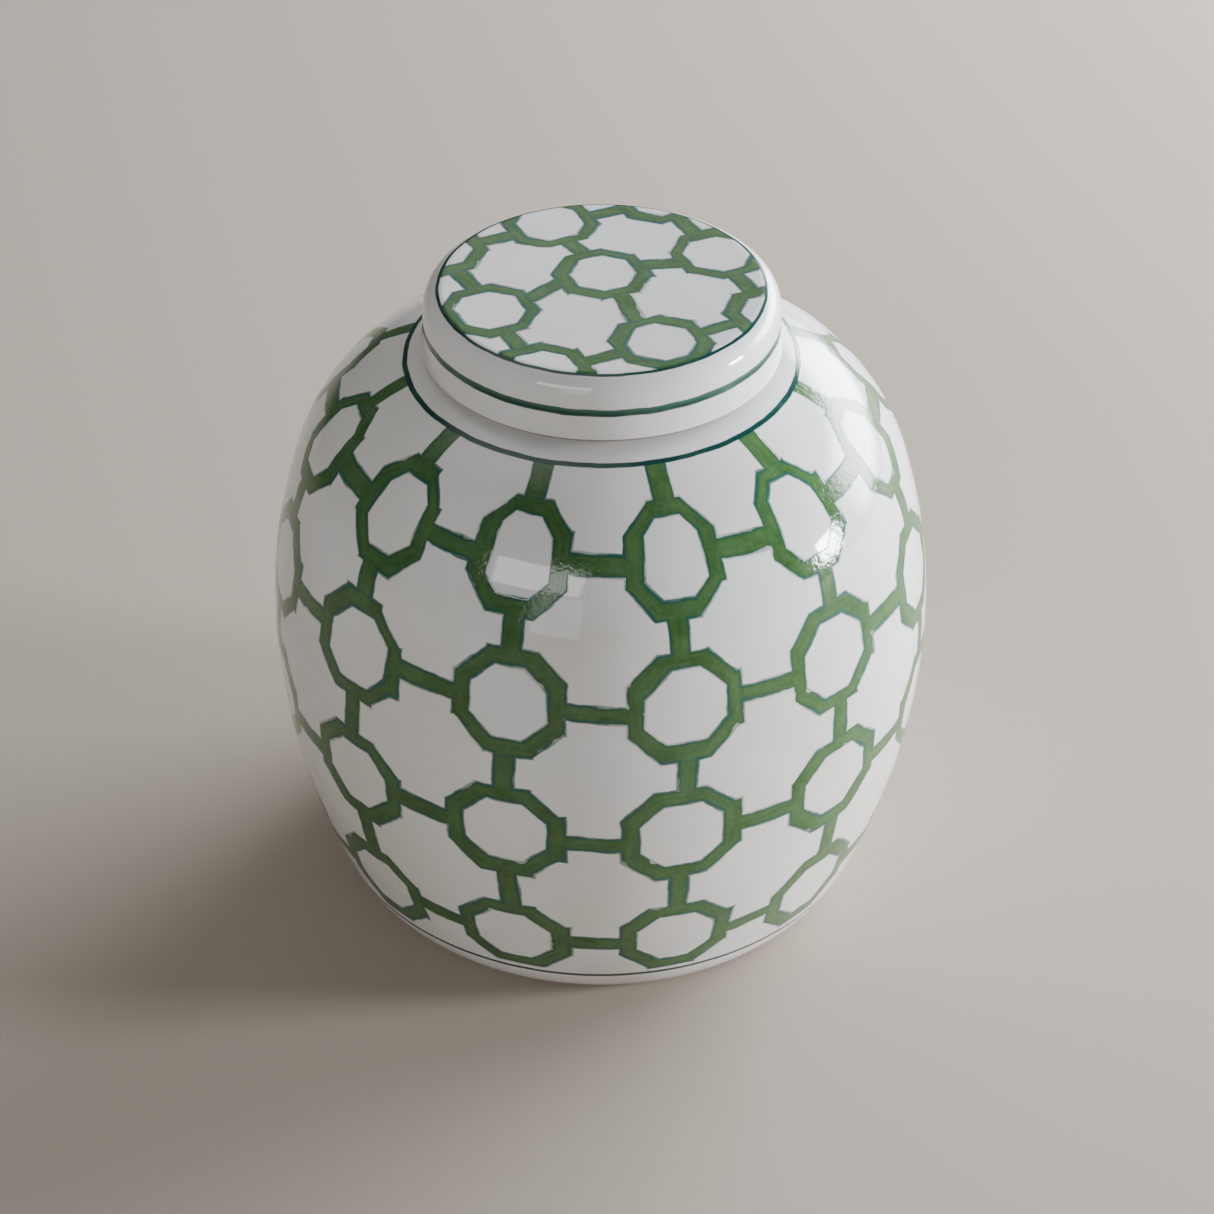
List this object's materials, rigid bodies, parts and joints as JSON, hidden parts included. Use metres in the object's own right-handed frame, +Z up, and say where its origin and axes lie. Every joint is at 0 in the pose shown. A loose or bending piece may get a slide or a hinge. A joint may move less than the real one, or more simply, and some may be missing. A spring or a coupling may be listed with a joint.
{
  "type": "ginger jar",
  "caption": "Round-bellied glazed ginger jar with a flat-topped cap lid, painted all over with a green octagon trellis on white.",
  "frame": {"origin": "centre of the foot, on the surface the jar stands on", "axes": "+Z up along the axis of the jar; the front, as shown with its lid on, faces -Y"},
  "size_m": [0.2066, 0.2066, 0.2103],
  "materials": {
    "glazed_porcelain": "gloss"
  },
  "bodies": {
    "jar": {"jar_body": "glazed_porcelain"},
    "lid": {"lid": "glazed_porcelain"}
  },
  "joints": [
    {"name": "lid_lift", "type": "slide", "parent": "jar", "child": "lid", "axis": [0, 0, 1], "range_m": [0, 0.06]}
  ]
}
